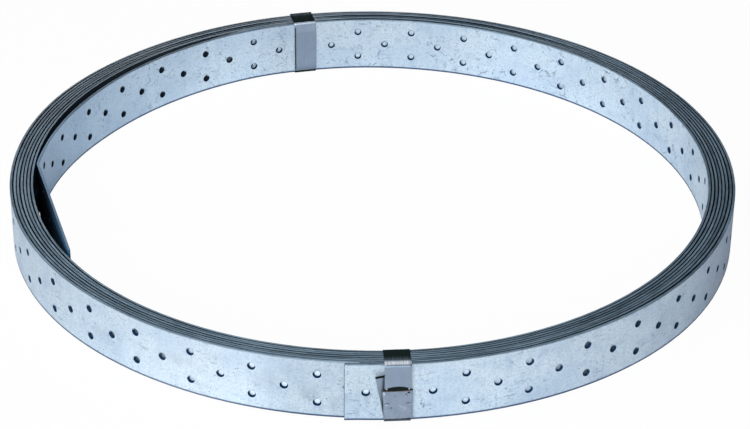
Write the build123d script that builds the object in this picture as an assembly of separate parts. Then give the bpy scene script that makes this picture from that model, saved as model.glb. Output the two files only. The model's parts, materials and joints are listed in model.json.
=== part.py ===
from build123d import *
import math
import os

# A coil of galvanized perforated fixing strap, tied with two flat steel bands. Millimetres, +Z up.
# The origin is on the floor under the coil's middle; the strap's outer end is at the front, at -Y.

# the strap
strap_width = 40.0
strap_thickness = 1.8
hole_diameter = 5.0
hole_step = 20.0  # along the strap, from a single hole to the next pair
row_offset = 10.0  # of a pair's holes from the strap's centre line
first_hole = 12.6  # from the outer end to the first single hole

# the coil: its turns are quarter arcs, flatter at the front and back, where the bands pull them together
outer_radius = 238.9  # of the outer wall at the outer end, before flattening
turn_gap = 0.29  # mean slack between one turn and the next
outer_flattening = 15.7  # by which a front or back arc's radius is larger than a side arc's
inner_flattening = 8.8
outer_end_angle = 266.57  # where the strap starts, counter-clockwise from +X
full_turns = 7  # before the sprung inner end, which is most of another
seam_depth = 1.0  # of the seam that parts two turns, cut into both end faces

# the sprung inner end: the last turn leaves the others, bows inwards, and is kinked and straight at its end
leave_angle = 106.5
kink_angle = 180.5
end_angle = 211.4
bow_tightening = 40.0  # by which the bow's first radius is smaller than the turn that it leaves
bow_length = 47.0  # of that first arc
kink_radius = 6.0
kink_gap = 0.6  # from the turn behind it, at the kink
end_gap = 1.7  # and at the strap's end

# the bands
band_width = 16.0
band_thickness = 0.55
band_clearance = 0.25
band_bend = 0.6
band_top_bend = 2.0  # where the upper end comes down over the seal's back
lap_gap = 0.1  # between the seal and the band's two ends
under_end_height = 32.5  # of the lower end, which stands up behind the seal
over_end_height = 2.8
lean_height = 1.3  # of the point about which the lower end may lean to one side
bands = {"front": {"angle": 274.1, "lean": 10.0}, "rear": {"angle": 103.2, "lean": 0.0}}

# the seals, folded round the upper end of each band
seal_thickness = 0.6
seal_low = 2.0
seal_high = 22.6
seal_side_gap = 0.25

turn_pitch = strap_thickness + turn_gap
leave = leave_angle + 360 * math.ceil((outer_end_angle + 360 * full_turns - leave_angle) / 360)
quarter_turns = math.ceil((leave - outer_end_angle) / 90)
band_lift = band_clearance + band_thickness  # the coil rests on the bands
hole_radius = hole_diameter / 2
drill_margin = 0.05  # by which a hole's drill runs past the strap on either side, inside the slack


def direction(degrees):
    return Vector(math.cos(math.radians(degrees)), math.sin(math.radians(degrees)))


def arc_edge(centre, radius, start, turn):
    # the arc's own circle starts where the arc does, so no hole lies across the circle's seam
    plane = Plane(origin=centre, x_dir=direction(start), z_dir=(0, 0, 1))
    return Edge.make_circle(radius, plane, 0, turn)


def lay_turns():
    # each arc: its centre, its outer wall's radius, and the angles it runs between
    arcs = []
    quarter = 90.0
    start = outer_end_angle
    stop = 45.0 + quarter * math.ceil((start - 45.0) / quarter)
    centre = Vector(0, outer_flattening / math.sqrt(2))
    previous = None
    for index in range(quarter_turns + 1):
        flattening = outer_flattening + (inner_flattening - outer_flattening) * index / quarter_turns
        side = 0.5 if index % 2 == 0 else -0.5
        radius = outer_radius - turn_pitch * index / 4 + side * flattening
        if previous is not None:
            centre = centre + direction(start) * (previous - radius)
        arcs.append({"centre": centre, "radius": radius, "start": start, "stop": stop})
        previous = radius
        start, stop = stop, stop + quarter
    return arcs


turns = lay_turns()


def arc_at(degrees):
    return next(a for a in turns if a["start"] <= degrees <= a["stop"])


def wall_point(degrees, inset):
    arc = arc_at(degrees)
    return arc["centre"] + direction(degrees) * (arc["radius"] - inset)


def wall_edges(first, last, inset):
    edges = []
    for arc in turns:
        start, stop = max(first, arc["start"]), min(last, arc["stop"])
        if stop > start:
            edges.append(arc_edge(arc["centre"], arc["radius"] - inset, start, stop - start))
    return edges


def wall_reach(degrees, level, inset):
    # how far from the coil's axis a wall lies, in one direction; level counts turns from the outside
    way = direction(degrees)
    arc = next(a for a in turns if a["start"] <= degrees + 360 * level <= a["stop"])
    along = arc["centre"].dot(way)
    across = arc["centre"].length ** 2 - along**2
    return along + math.sqrt((arc["radius"] - inset) ** 2 - across)


def heading_of(way):
    return math.degrees(math.atan2(way.Y, way.X))


def sprung_end():
    # the outward wall of the sprung turn, as three arcs and a straight run
    last_turn = 360 * round((leave - 360 - leave_angle) / 360)
    kink = wall_point(last_turn + kink_angle, strap_thickness + kink_gap)
    end = wall_point(last_turn + end_angle, strap_thickness + end_gap)
    start, heading = wall_point(leave, 0), leave + 90
    runs = []

    def bend(radius, degrees):
        nonlocal start, heading
        centre = start + direction(heading + 90) * radius
        runs.append({"centre": centre, "radius": radius, "start": heading - 90, "turn": degrees})
        heading += degrees
        start = centre + direction(heading - 90) * radius

    tight_radius = arc_at(leave)["radius"] - bow_tightening
    bend(tight_radius, math.degrees(bow_length / tight_radius))
    chord = kink - start
    slack_radius = chord.length**2 / (2 * chord.dot(direction(heading + 90)))
    bend(slack_radius, 2 * math.degrees(math.asin(chord.length / (2 * slack_radius))))
    radius = kink_radius + strap_thickness
    to_end = end - (start + direction(heading + 90) * radius)
    final = heading_of(to_end) + math.degrees(math.asin(radius / to_end.length))
    bend(radius, (final - heading) % 360)
    runs.append({"from": start, "heading": heading, "length": (end - start).length})
    return runs


def sprung_edges(inset):
    # inset 0 is the outward wall, and a strap's thickness is the inner one
    edges = []
    for run in sprung_end():
        if "centre" in run:
            edges.append(arc_edge(run["centre"], run["radius"] - inset, run["start"], run["turn"]))
        else:
            start = run["from"] + direction(run["heading"] + 90) * inset
            edges.append(Line(start, start + direction(run["heading"]) * run["length"]).edge())
    return edges


def coil_body():
    outline = wall_edges(outer_end_angle, outer_end_angle + 360, 0)
    step = Line(outline[-1] @ 1, outline[0] @ 0).edge()
    outer = Wire(outline + [step])
    inner_wall = wall_edges(leave - 360, leave, strap_thickness)
    inner_face = sprung_edges(strap_thickness)
    outward_face = sprung_edges(0)
    end = Line(inner_face[-1] @ 1, outward_face[-1] @ 1).edge()
    slot_end = Line(outward_face[0] @ 0, inner_wall[0] @ 0).edge()
    bore = Wire(inner_wall + inner_face + [end] + outward_face + [slot_end])
    return extrude(Face(outer, [bore]), strap_width)


def seams():
    # the gap between two turns, open at the outer end
    outer_side = wall_edges(outer_end_angle, leave - 360, strap_thickness)
    inner_side = wall_edges(outer_end_angle + 360, leave, 0)
    ends = [
        Line(outer_side[0] @ 0, inner_side[0] @ 0).edge(),
        Line(outer_side[-1] @ 1, inner_side[-1] @ 1).edge(),
    ]
    gap = Face(Wire(outer_side + inner_side + ends))
    low = extrude(gap, seam_depth)
    return [low, Pos(0, 0, strap_width - seam_depth) * low]


def hole_places():
    # every column of holes along the strap: its angle on the turns, or its place on the sprung end
    places = []
    travelled = 0.0
    wanted = first_hole
    column = 0
    for arc in turns:
        stop = min(arc["stop"], leave)
        if stop <= arc["start"]:
            break
        middle = arc["radius"] - strap_thickness / 2
        length = middle * math.radians(stop - arc["start"])
        while wanted <= travelled + length:
            degrees = arc["start"] + math.degrees((wanted - travelled) / middle)
            places.append({"column": column, "degrees": degrees})
            column += 1
            wanted += hole_step
        travelled += length
    for run in sprung_end():
        middle = run.get("radius", 0) - strap_thickness / 2
        length = middle * math.radians(run["turn"]) if "centre" in run else run["length"]
        last = length if "centre" in run else length - hole_diameter
        while wanted <= travelled + last:
            if "centre" in run:
                degrees = run["start"] + math.degrees((wanted - travelled) / middle)
                at = run["centre"] + direction(degrees) * (run["radius"] - strap_thickness)
            else:
                degrees = run["heading"] - 90
                at = run["from"] + direction(run["heading"]) * (wanted - travelled)
                at = at - direction(degrees) * strap_thickness
            places.append({"column": column, "degrees": degrees, "at": at})
            column += 1
            wanted += hole_step
        travelled += length
    return places


def heights(column):
    middle = strap_width / 2
    return [middle] if column % 2 == 0 else [middle - row_offset, middle + row_offset]


def drill(at, degrees, height):
    # at is on the strap's inner wall
    start = at - direction(degrees) * drill_margin + Vector(0, 0, height)
    plane = Plane(origin=start, z_dir=direction(degrees))
    return extrude(plane * Circle(hole_radius), strap_thickness + 2 * drill_margin)


def drills():
    # holes through the outer turn, the innermost turn and the sprung end, each one strap deep
    tools = []
    room = math.degrees(hole_diameter / outer_radius)
    for place in hole_places():
        degrees = place["degrees"]
        if "at" in place:
            at = place["at"]
        elif degrees < outer_end_angle + 360 - room or degrees > leave - 360 + room:
            at = wall_point(degrees, strap_thickness)
        else:
            continue
        tools += [drill(at, degrees, height) for height in heights(place["column"])]
    return tools


def strap_coil():
    solid = coil_body() - seams() - drills()
    return Pos(0, 0, band_lift) * solid


def band_frame(angle):
    # seen from outside: local X runs to the left, local Y outwards from the outer wall, Z up from the lower face
    origin = direction(angle) * wall_reach(angle_on_turns(angle), 0, 0)
    return Location(tuple(origin), (0, 0, angle - 90)) * Pos(0, 0, band_lift)


def angle_on_turns(angle):
    return angle if angle >= outer_end_angle else angle + 360


def innermost_level(angle):
    return math.floor((leave - angle_on_turns(angle)) / 360)


def pack_depth(angle):
    first = angle_on_turns(angle)
    return wall_reach(first, 0, 0) - wall_reach(first, innermost_level(angle), strap_thickness)


under_face = band_clearance
seal_back = under_face + band_thickness + lap_gap
over_face = seal_back + seal_thickness + lap_gap


def band(angle, lean):
    # its section, in local Y and Z, runs from the lower end round the coil's turns to the upper end
    sag = band_width**2 / (8 * (outer_radius - pack_depth(angle)))
    inner = -pack_depth(angle) - sag - band_clearance
    low, top = -band_clearance, strap_width + band_clearance
    near = [
        (under_face, lean_height),
        (under_face, low),
        (inner, low),
        (inner, top),
        (over_face, top),
        (over_face, over_end_height),
    ]
    thick = band_thickness
    far = [
        (under_face + thick, lean_height),
        (under_face + thick, low - thick),
        (inner - thick, low - thick),
        (inner - thick, top + thick),
        (over_face + thick, top + thick),
        (over_face + thick, over_end_height),
    ]
    bends = [band_bend, band_bend, band_bend, band_top_bend]
    near_side = FilletPolyline(*near, radius=bends)
    far_side = FilletPolyline(*far, radius=[bend + thick for bend in bends])
    ends = [Line(near[0], far[0]), Line(near[-1], far[-1])]
    section = make_face([near_side, far_side] + ends)
    loop = extrude(Plane.YZ * section, band_width / 2, both=True)
    # the lower end leans over from its right-hand edge, and starts where the bend under the coil stops
    length = (under_end_height - lean_height) / math.cos(math.radians(lean))
    strip = Box(band_width, thick, length, align=(Align.MIN, Align.MIN, Align.MIN))
    lower_end = Pos(-band_width / 2, under_face, lean_height) * Rot(0, lean, 0) * strip
    below = Box(3 * band_width, band_width, band_width, align=(Align.CENTER, Align.CENTER, Align.MAX))
    lower_end = lower_end - Pos(0, 0, low + band_bend) * below
    return band_frame(angle) * (loop + lower_end)


def seal(angle):
    # a folded sleeve round the upper end
    width = band_width + 2 * seal_side_gap
    depth = band_thickness + 2 * lap_gap
    hollow = Pos(0, over_face + band_thickness / 2) * Rectangle(width, depth)
    sleeve = offset(hollow, seal_thickness) - hollow
    piece = extrude(Pos(0, 0, seal_low) * sleeve, seal_high - seal_low)
    return band_frame(angle) * piece


def main():
    pieces = {"strap_coil": strap_coil()}
    for side, place in bands.items():
        pieces[f"{side}_band"] = band(place["angle"], place["lean"])
        pieces[f"{side}_seal"] = seal(place["angle"])
    os.makedirs("parts", exist_ok=True)
    for name, piece in pieces.items():
        solids = piece.solids()
        print(name, len(solids), "solid", round(sum(s.volume for s in solids)), "mm3")
        export_step(piece, f"parts/{name}.step")
    columns = len(hole_places())
    print("columns of holes:", columns, "strap about", round(columns * hole_step), "mm")


main()
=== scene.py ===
import json
import math

import bmesh
import bpy
from mathutils import Matrix, Vector, noise


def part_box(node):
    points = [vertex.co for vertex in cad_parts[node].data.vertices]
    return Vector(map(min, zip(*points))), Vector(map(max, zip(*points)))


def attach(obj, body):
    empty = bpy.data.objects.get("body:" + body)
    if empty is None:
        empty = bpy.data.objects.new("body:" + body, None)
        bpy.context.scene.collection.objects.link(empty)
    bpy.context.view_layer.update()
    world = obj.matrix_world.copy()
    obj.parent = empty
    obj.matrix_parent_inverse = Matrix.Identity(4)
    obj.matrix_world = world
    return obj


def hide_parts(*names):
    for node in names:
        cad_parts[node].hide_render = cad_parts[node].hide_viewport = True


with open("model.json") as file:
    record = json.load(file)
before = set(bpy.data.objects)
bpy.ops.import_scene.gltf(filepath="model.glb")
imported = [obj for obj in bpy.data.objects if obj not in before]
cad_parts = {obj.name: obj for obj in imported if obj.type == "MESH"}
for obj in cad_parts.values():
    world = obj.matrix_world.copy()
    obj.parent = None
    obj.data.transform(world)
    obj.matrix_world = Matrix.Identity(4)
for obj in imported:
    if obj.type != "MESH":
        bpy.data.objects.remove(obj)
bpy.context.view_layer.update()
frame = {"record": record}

# Galvanized perforated strap, wound into a coil and tied with two flat bands. Metres, +Z up.
scene = bpy.context.scene
coilLow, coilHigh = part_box("strap_coil")


# the strap's way round the coil
winding = {
    "outerRadius": 0.2389,  # of the outer wall at the outer end
    "turnPitch": 0.00209,
    "outerFlattening": 0.0157,
    "innerFlattening": 0.0088,
    "outerEnd": 266.57,  # degrees, counter-clockwise from +X
    "leave": 2986.5,  # where the last turn springs off the others
    "quarterTurns": 31,
    "bowTightening": 0.040,
    "bowLength": 0.047,
    "kinkAngle": 180.0,
    "kinkGap": 0.0006,
    "kinkRadius": 0.006,
    "endAngle": 210.95,
    "endGap": 0.0028,
}

strap = {
    "width": coilHigh.z - coilLow.z,
    "thickness": 0.0018,
    "holeRadius": 0.0022,  # inside its worn rim
    "holeStep": 0.020,
    "rowOffset": 0.010,
    "firstHole": 0.0126,  # from the outer end
    "rimBevel": 0.00045,
    "holeTaper": 0.16,  # share by which a hole is narrower at its hidden end
    "edgeBevel": 0.00024,
    "slitDepth": 0.015,  # from the strap's middle line, past which the slack between two turns is dark
    "fineSides": 16,  # of a hole that shows
    "plainSides": 8,  # of one between the turns
}

tolerance = {"cut": 1e-7, "same": 1e-6, "near": 1e-5, "weld": 2e-5, "sharpRadians": 1}


def direction(degrees):
    return Vector((math.cos(math.radians(degrees)), math.sin(math.radians(degrees))))


def arcsOfTurns():
    # quarter arcs, flatter at the front and back: centre, outer wall's radius, first angle, turn
    arcs = []
    start = winding["outerEnd"]
    stop = 45.0 + 90.0 * math.ceil((start - 45.0) / 90.0)
    centre = Vector((0, winding["outerFlattening"] / math.sqrt(2)))
    previous = None
    for index in range(winding["quarterTurns"] + 1):
        share = index / winding["quarterTurns"]
        flattening = winding["outerFlattening"] * (1 - share) + winding["innerFlattening"] * share
        side = 0.5 if index % 2 == 0 else -0.5
        radius = winding["outerRadius"] - winding["turnPitch"] * index / 4 + side * flattening
        if previous is not None:
            centre = centre + direction(start) * (previous - radius)
        last = min(stop, winding["leave"])
        if last > start:
            arcs.append({"centre": centre, "radius": radius, "start": start, "turn": last - start})
        previous = radius
        start, stop = stop, stop + 90.0
    return arcs


def arcAt(arcs, degrees):
    return next(a for a in arcs if a["start"] <= degrees <= a["start"] + a["turn"])


def wallPoint(arcs, degrees, inset):
    arc = arcAt(arcs, degrees)
    return arc["centre"] + direction(degrees) * (arc["radius"] - inset)


def sprungRuns(arcs):
    # the last turn bows inwards, is kinked, and ends straight
    lastTurn = 360 * math.floor((winding["leave"] - 360) / 360)
    thickness = strap["thickness"]
    kink = wallPoint(arcs, lastTurn + winding["kinkAngle"], thickness + winding["kinkGap"])
    end = wallPoint(arcs, lastTurn + winding["endAngle"], thickness + winding["endGap"])
    start, heading = wallPoint(arcs, winding["leave"], 0), winding["leave"] + 90
    runs = []

    def bend(radius, degrees):
        nonlocal start, heading
        centre = start + direction(heading + 90) * radius
        runs.append({"centre": centre, "radius": radius, "start": heading - 90, "turn": degrees})
        heading += degrees
        start = centre + direction(heading - 90) * radius

    tight = arcs[-1]["radius"] - winding["bowTightening"]
    bend(tight, math.degrees(winding["bowLength"] / tight))
    chord = kink - start
    slack = chord.length**2 / (2 * chord.dot(direction(heading + 90)))
    bend(slack, 2 * math.degrees(math.asin(chord.length / (2 * slack))))
    radius = winding["kinkRadius"] + thickness
    toEnd = end - (start + direction(heading + 90) * radius)
    final = math.degrees(math.atan2(toEnd.y, toEnd.x)) + math.degrees(math.asin(radius / toEnd.length))
    bend(radius, (final - heading) % 360)
    runs.append({"from": start, "heading": heading, "straight": (end - start).length})
    return runs


def runLength(run):
    if "centre" in run:
        return (run["radius"] - strap["thickness"] / 2) * math.radians(run["turn"])
    return run["straight"]


turnArcs = arcsOfTurns()
runs = turnArcs + sprungRuns(turnArcs)
runEnds = []
strapLength = 0.0
for run in runs:
    strapLength += runLength(run)
    runEnds.append(strapLength)
springsAt = runEnds[len(turnArcs) - 1]
kinkStart, kinkEnd = runEnds[-3], runEnds[-2]


def alongAt(degrees):
    # the length of strap wound up to that angle
    travelled = 0.0
    for arc in turnArcs:
        part = min(max(degrees - arc["start"], 0), arc["turn"])
        travelled += (arc["radius"] - strap["thickness"] / 2) * math.radians(part)
    return travelled


outerTurnEnd = alongAt(winding["outerEnd"] + 360)
innerTurnStart = alongAt(winding["leave"] - 360)


def placeAt(along):
    # the outer wall's point, the way outwards, and the angle wound so far, at a length along the strap
    index = 0
    while index < len(runs) - 1 and along > runEnds[index]:
        index += 1
    run = runs[index]
    travelled = along - (runEnds[index] - runLength(run))
    if "centre" in run:
        degrees = run["start"] + math.degrees(travelled / (run["radius"] - strap["thickness"] / 2))
        return run["centre"] + direction(degrees) * run["radius"], direction(degrees), degrees
    outwards = direction(run["heading"] - 90)
    return run["from"] + direction(run["heading"]) * travelled, outwards, run["heading"] - 90


print("strap", round(strapLength, 3), "m long, springs off at", round(springsAt, 3))


# the strap, made flat and then wound
def flatCell(sides):
    # 40 mm of strap with one hole and a pair, seen from outside: X along, Y across
    step, half = strap["holeStep"], strap["width"] / 2
    square = step / 4
    cell = bmesh.new()
    bmesh.ops.create_grid(cell, x_segments=1, y_segments=1, size=step)
    bmesh.ops.translate(cell, verts=cell.verts, vec=(step / 2, 0, 0))
    bmesh.ops.scale(cell, verts=cell.verts, vec=(1, half / step, 1))
    cutsAlong = [-square, square, step - square, step + square]
    cutsAcross = [-3 * square, -square, square, 3 * square]
    for normal, cuts in (((1, 0, 0), cutsAlong), ((0, 1, 0), cutsAcross)):
        for cut in cuts:
            geometry = cell.verts[:] + cell.edges[:] + cell.faces[:]
            point = Vector(normal) * cut
            bmesh.ops.bisect_plane(
                cell, geom=geometry, dist=tolerance["cut"], plane_co=point, plane_no=normal)
    holes = [Vector((0, 0, 0))]
    holes += [Vector((step, side * strap["rowOffset"], 0)) for side in (-1, 1)]
    for hole in holes:
        face = min(cell.faces, key=lambda f: (f.calc_center_median() - hole).length)
        bmesh.ops.subdivide_edges(cell, edges=face.edges[:], cuts=sides // 4 - 1)
        face = min(cell.faces, key=lambda f: (f.calc_center_median() - hole).length)
        bmesh.ops.inset_individual(cell, faces=[face], thickness=square / 4)
        part = 2 * math.pi / sides
        for vert in face.verts:
            away = vert.co - hole
            angle = part * round(math.atan2(away.y, away.x) / part)
            vert.co = hole + Vector((math.cos(angle), math.sin(angle), 0)) * strap["holeRadius"]
        bmesh.ops.delete(cell, geom=[face], context="FACES_ONLY")
    return cell


def flatStretch(first, last, sides):
    # a run of whole cells, from one single hole to before another
    cell = flatCell(sides)
    mesh = bpy.data.meshes.new("cell")
    cell.to_mesh(mesh)
    cell.free()
    sheet = bmesh.new()
    for index in range(first, last):
        before = len(sheet.verts)
        sheet.from_mesh(mesh)
        sheet.verts.ensure_lookup_table()
        shift = strap["firstHole"] + index * 2 * strap["holeStep"]
        bmesh.ops.translate(sheet, verts=sheet.verts[before:], vec=(shift, 0, 0))
    bpy.data.meshes.remove(mesh)
    return sheet


def addStretch(whole, stretch):
    mesh = bpy.data.meshes.new("stretch")
    stretch.to_mesh(mesh)
    stretch.free()
    whole.from_mesh(mesh)
    bpy.data.meshes.remove(mesh)


def cutAcross(bm, along, clearInner=False, clearOuter=False):
    bmesh.ops.bisect_plane(
        bm, geom=bm.verts[:] + bm.edges[:] + bm.faces[:], dist=tolerance["cut"],
        plane_co=(along, 0, 0), plane_no=(1, 0, 0), clear_inner=clearInner, clear_outer=clearOuter)


def flatStrap():
    # round holes in the turns that show, plainer ones in the turns between them
    cellLength = 2 * strap["holeStep"]
    outerCells = math.ceil(outerTurnEnd / cellLength) + 1
    innerCell = math.floor(innerTurnStart / cellLength) - 1
    lastCell = math.ceil(strapLength / cellLength) + 1
    whole = bmesh.new()
    addStretch(whole, flatStretch(-1, outerCells, strap["fineSides"]))
    addStretch(whole, flatStretch(outerCells, innerCell, strap["plainSides"]))
    addStretch(whole, flatStretch(innerCell, lastCell, strap["fineSides"]))
    bmesh.ops.remove_doubles(whole, verts=whole.verts, dist=tolerance["weld"])
    cutAcross(whole, 0, clearInner=True)
    cutAcross(whole, strapLength, clearOuter=True)
    for share in (0, 0.5, 1):
        cutAcross(whole, kinkStart + (kinkEnd - kinkStart) * share)
    bmesh.ops.solidify(whole, geom=whole.faces[:], thickness=strap["thickness"])
    top = max(v.co.z for v in whole.verts)
    bmesh.ops.translate(whole, verts=whole.verts, vec=(0, 0, -top))
    bevelRims(whole, outerCells * cellLength, innerCell * cellLength)
    return whole


def bevelRims(bm, plainFrom, plainTo):
    # sheared edges and ends get a small bevel, and so do the rims of the holes that show
    half = strap["width"] / 2
    same, near = tolerance["same"], tolerance["near"]
    slit, rims = [], []
    for edge in bm.edges:
        if len(edge.link_faces) != 2 or edge.calc_face_angle(0) < tolerance["sharpRadians"]:
            continue
        a, b = (v.co for v in edge.verts)
        if abs(a.z - b.z) > same:
            continue
        atSide = abs(abs(a.y) - half) < same and abs(abs(b.y) - half) < same
        atEnd = abs(a.x - b.x) < near and min(abs(a.x), abs(a.x - strapLength)) < near
        if atSide or atEnd:
            slit.append(edge)
        elif not plainFrom < a.x < plainTo:
            rims.append(edge)
    common = {"affect": "EDGES", "segments": 1, "profile": 0.5, "material": -1, "clamp_overlap": True}
    bmesh.ops.bevel(bm, geom=rims, offset=strap["rimBevel"], **common)
    slit = [e for e in slit if e.is_valid]
    bmesh.ops.bevel(bm, geom=slit, offset=strap["edgeBevel"], **common)


# winding it: small wander of each turn in its slack, and of its height
wander = {
    "meanSlack": 0.00029,
    "slackSwing": 0.00018,  # more at the sides, less at the front and back
    "share": 0.42,  # of the slack that a turn may take
    "setsIn": (0.85, 1.15),  # turns from the outer end, over which it starts to stray outwards
    "inset": 0.00004,  # of all turns, to stay within the stated size
    "wavesPerMetre": 3.1,
    "outSeed": (0.5, 0.5),
    "heightSwing": 0.00045,
    "heightWaves": 1.7,
    "heightSeed": (7.5, 0.5),
    "heldShare": 0.3,  # of its height's swing that a turn keeps at a band
    "heldWithin": (2.5, 9),  # degrees from the band
    "endLift": 0.0009,  # of the strap's outer end
    "endLiftLength": 0.013,
    "bulge": {"at": 155, "half": 24, "lift": 0.0009, "gone": 9},  # less each turn, gone after so many
    "twist": 0.0013,  # outwards, of the sprung end's lower edge ahead of the kink
    "twistLength": 0.115,
    "twistSkew": 0.7,
    "loose": {"at": 316, "half": 38, "lift": 0.0006},  # the outer turn, off the one below it
    "proud": [  # turns that stand a little higher: total degrees wound, half width, lift
        {"at": 2623, "half": 42, "lift": 0.00045},
        {"at": 1536, "half": 50, "lift": 0.00045},
    ],
}


def smooth(low, high, value):
    share = min(max((value - low) / (high - low), 0), 1)
    return share * share * (3 - 2 * share)


def fade(low, high, value):
    return 1 - smooth(low, high, value)


def apart(first, second):
    # the angle between two directions
    return abs((first - second + 180) % 360 - 180)


def angleOf(mount):
    x, y = mount["pos_m"][:2]
    return math.degrees(math.atan2(y, x)) % 360


floorMounts = {m["name"]: m for m in frame["record"]["mounts"] if m["name"].startswith("floor_face")}
bandAngles = [angleOf(mount) for mount in floorMounts.values()]


def sway(along, degrees):
    # how far outwards and upwards the strap strays from its even spiral
    turn = (degrees - winding["outerEnd"]) / 360
    between = smooth(*wander["setsIn"], turn)
    slack = wander["meanSlack"] + wander["slackSwing"] * math.cos(math.radians(2 * degrees))
    wave = noise.noise((along * wander["wavesPerMetre"], *wander["outSeed"]))
    out = wander["share"] * slack * wave * between
    out -= wander["inset"]
    up = wander["heightSwing"] * noise.noise((along * wander["heightWaves"], *wander["heightSeed"]))
    if along < wander["endLiftLength"]:
        out += wander["endLift"] * (1 - along / wander["endLiftLength"]) ** 2
    for high in wander["proud"]:
        up += high["lift"] * fade(high["half"] / 2, high["half"], abs(degrees - high["at"]))
    for held in bandAngles:
        kept = wander["heldShare"]
        up *= kept + (1 - kept) * smooth(*wander["heldWithin"], apart(degrees, held))
    bulge, loose = wander["bulge"], wander["loose"]
    if along < springsAt:
        near = fade(0, bulge["half"], apart(degrees, bulge["at"]))
        out += bulge["lift"] * (1 - turn / bulge["gone"]) * near
    out += loose["lift"] * fade(0, loose["half"], abs(degrees - loose["at"]))
    return out, up


# what the paint is told of each face: above 0 it gets painted shade, and below 0 it is
# untouched zinc between the turns, seen through the holes
cover = {
    "inside": (0.02, 0.08),  # of the sprung end: from where it springs off, as lengths
    "insideLighter": 0.1,  # share, towards its tip
    "outerReach": 0.01,  # past the outer turn's end, for which the next one still shows
    "behind": (0.028, 0.055),  # on the turn behind the sprung end, from where that turn starts
    "behindShare": 0.95,
    "behindEnds": (-0.03, 0.01),  # past the tip
    "endFace": 0.8,
    "endFaceDepth": 0.0003,
    "cornerDepth": 0.001,
    "litFrom": 270,  # degrees; away from it less light gets in through the outer turn's holes
    "litWithin": (20, 34),
    "unlit": 1.75,
    "cutEdge": 1.0,  # the mark of a sheared edge, and of a hole's wall or rim
    "cutHole": 0.6,
    # how upright a face's normal is: flat faces, bevels, and along the strap on its end faces
    "flatNormal": 0.95,
    "bevelNormal": 0.3,
    "endNormal": 0.9,
}


def coverOf(along, across, outside):
    # for a face of the flat strap that lies against another turn
    inSlit = abs(across) > strap["slitDepth"]
    if outside:
        if along > springsAt:
            dark = smooth(*cover["inside"], along - springsAt)
            return dark * (1 - cover["insideLighter"] * smooth(kinkEnd, strapLength, along))
        if along < outerTurnEnd + cover["outerReach"]:
            return 0.0
        return 1.0 if inSlit else -1.0
    behindSprung = along - innerTurnStart
    sprungLength = strapLength - springsAt
    if 0 < behindSprung < sprungLength + cover["behindEnds"][1]:
        start = smooth(*cover["behind"], behindSprung)
        return cover["behindShare"] * start * fade(*cover["behindEnds"], behindSprung - sprungLength)
    return 1.0 if inSlit and behindSprung < 0 else 0.0


def taperHoles(bm):
    # a punched hole narrows towards the side of the strap that doesn't show
    reach = strap["holeRadius"] + strap["rimBevel"] + tolerance["near"]
    for vert in bm.verts:
        along, across, deep = vert.co
        column = round((along - strap["firstHole"]) / strap["holeStep"])
        row = math.copysign(strap["rowOffset"], across) if column % 2 else 0.0
        away = Vector((along - strap["firstHole"] - column * strap["holeStep"], across - row))
        fromInside = along > innerTurnStart
        hidden = (deep > -strap["thickness"] / 2) == fromInside
        if away.length < reach and hidden:
            away *= strap["holeTaper"]
            vert.co -= Vector((away.x, away.y, 0))


def markFaces(bm):
    # the flat map, and how each face is cut and covered, while the strap is still flat
    layer = bm.loops.layers.uv.new("flat")
    cut = bm.faces.layers.float.new("cut")
    covered = bm.faces.layers.float.new("covered")
    edge = strap["width"] / 2 - 2 * strap["edgeBevel"]
    corner = strap["width"] / 2 - 2 * strap["edgeBevel"] - cover["cornerDepth"]
    bm.normal_update()
    for face in bm.faces:
        middle, normal = face.calc_center_median(), face.normal
        for loop in face.loops:
            loop[layer].uv = (loop.vert.co.x, loop.vert.co.y)
        atEdge = abs(middle.y) > edge
        shade = coverOf(middle.x, middle.y, middle.z > -strap["thickness"] / 2)
        if abs(normal.z) < cover["flatNormal"]:
            face[cut] = cover["cutEdge"] if atEdge else cover["cutHole"]
            atCorner = abs(normal.x) > cover["endNormal"] and abs(middle.y) > corner
            if atEdge and abs(normal.z) > cover["bevelNormal"]:
                face[covered] = max(shade, 0)
            if atCorner or middle.x < cover["endFaceDepth"]:
                face[covered] = cover["endFace"]
        else:
            if shade < 0:
                aside = apart(placeAt(middle.x)[2], cover["litFrom"])
                shade += cover["unlit"] * smooth(*cover["litWithin"], aside)
            face[covered] = shade


def wind(bm):
    middleHeight = (coilLow.z + coilHigh.z) / 2
    for vert in bm.verts:
        along, across, deep = vert.co
        point, outwards, degrees = placeAt(along)
        out, up = sway(along, degrees)
        ahead = (kinkStart - along) / wander["twistLength"]
        if 0 < ahead < 1:
            leaning = math.sin(math.pi * ahead ** wander["twistSkew"])
            out += wander["twist"] * leaning * (0.5 - across / strap["width"])
        spot = point + outwards * (deep + out)
        vert.co = (spot.x, spot.y, middleHeight + across + up)


def addPiece(name, bm, replaced, material):
    mesh = bpy.data.meshes.new(name)
    bm.to_mesh(mesh)
    bm.free()
    mesh.shade_smooth()
    mesh.set_sharp_from_angle(angle=math.radians(30))
    piece = bpy.data.objects.new(name, mesh)
    scene.collection.objects.link(piece)
    mesh.materials.append(material)
    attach(piece, "root")
    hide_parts(replaced)
    triangles = sum(len(p.vertices) - 2 for p in mesh.polygons)
    print("piece", name, triangles, "triangles")


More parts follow.
